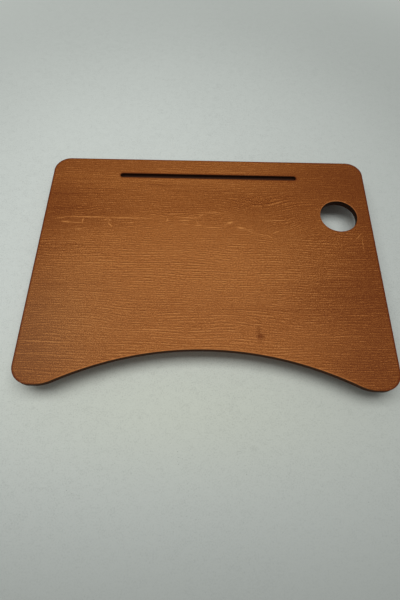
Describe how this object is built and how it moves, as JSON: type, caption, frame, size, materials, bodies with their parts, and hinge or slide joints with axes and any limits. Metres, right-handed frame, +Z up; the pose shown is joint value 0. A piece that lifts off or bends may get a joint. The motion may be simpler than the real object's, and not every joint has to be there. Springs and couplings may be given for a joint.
{
  "type": "folding laptop table with drawer",
  "caption": "Low wooden laptop table with a curved near edge, cup hole, tablet groove, folding leg frames and a shallow side drawer, stored folded flat.",
  "frame": {"origin": "on the floor, under the middle of the folded table", "axes": "+X to the user's right along the width, +Y from the user's edge to the far edge, +Z up"},
  "size_m": [0.6, 0.45, 0.046],
  "materials": {
    "stained_plywood": "red-brown stain under a thin satin varnish, with fine wavy grain and small flecks",
    "stained_hardwood": "red-brown stain under a thin satin varnish, straight grain",
    "plain_hardwood": "sanded and waxed, straight grain",
    "plain_plywood": "sanded, thin plywood",
    "zinc_steel": "zinc plated",
    "black_rubber": "matt"
  },
  "bodies": {
    "table": {"top_panel": "stained_plywood", "far_apron": "stained_hardwood", "near_apron": "stained_hardwood", "apron_screws": "zinc_steel", "bumper_far_left": "black_rubber", "bumper_far_right": "black_rubber", "bumper_near_left": "black_rubber", "bumper_near_right": "black_rubber", "pivot_bolt_far_left": "zinc_steel", "pivot_bolt_far_right": "zinc_steel", "pivot_bolt_near_left": "zinc_steel", "pivot_bolt_near_right": "zinc_steel", "pivot_washers": "zinc_steel", "pivot_nuts": "zinc_steel", "far_runner": "plain_hardwood", "near_runner": "plain_hardwood", "runner_screws": "zinc_steel", "stop_peg": "plain_hardwood", "stop_peg_screw": "zinc_steel"},
    "left_leg": {"left_far_post": "stained_hardwood", "left_near_post": "stained_hardwood", "left_stretcher": "stained_hardwood", "left_stretcher_screws": "zinc_steel", "left_far_foot": "black_rubber", "left_near_foot": "black_rubber"},
    "right_leg": {"right_far_post": "stained_hardwood", "right_near_post": "stained_hardwood", "right_stretcher": "stained_hardwood", "right_stretcher_screws": "zinc_steel", "right_far_foot": "black_rubber", "right_near_foot": "black_rubber"},
    "drawer": {"drawer_front": "stained_hardwood", "drawer_far_side": "plain_hardwood", "drawer_near_side": "plain_hardwood", "drawer_back": "plain_hardwood", "drawer_bottom": "plain_plywood", "drawer_dowels": "plain_hardwood", "drawer_screws": "zinc_steel", "drawer_knob": "stained_hardwood", "drawer_knob_screw": "zinc_steel", "drawer_stop_tab": "plain_plywood", "stop_tab_screws": "zinc_steel"}
  },
  "joints": [
    {"name": "left_leg_fold", "type": "hinge", "parent": "table", "child": "left_leg", "pos_m": [-0.262, 0, 0.02], "axis": [0, 1, 0], "range_deg": [0, 98]},
    {"name": "right_leg_fold", "type": "hinge", "parent": "table", "child": "right_leg", "pos_m": [0.262, 0, 0.02], "axis": [0, -1, 0], "range_deg": [0, 98]},
    {"name": "drawer_slide", "type": "slide", "parent": "table", "child": "drawer", "axis": [-1, 0, 0], "range_m": [0, 0.138]}
  ]
}
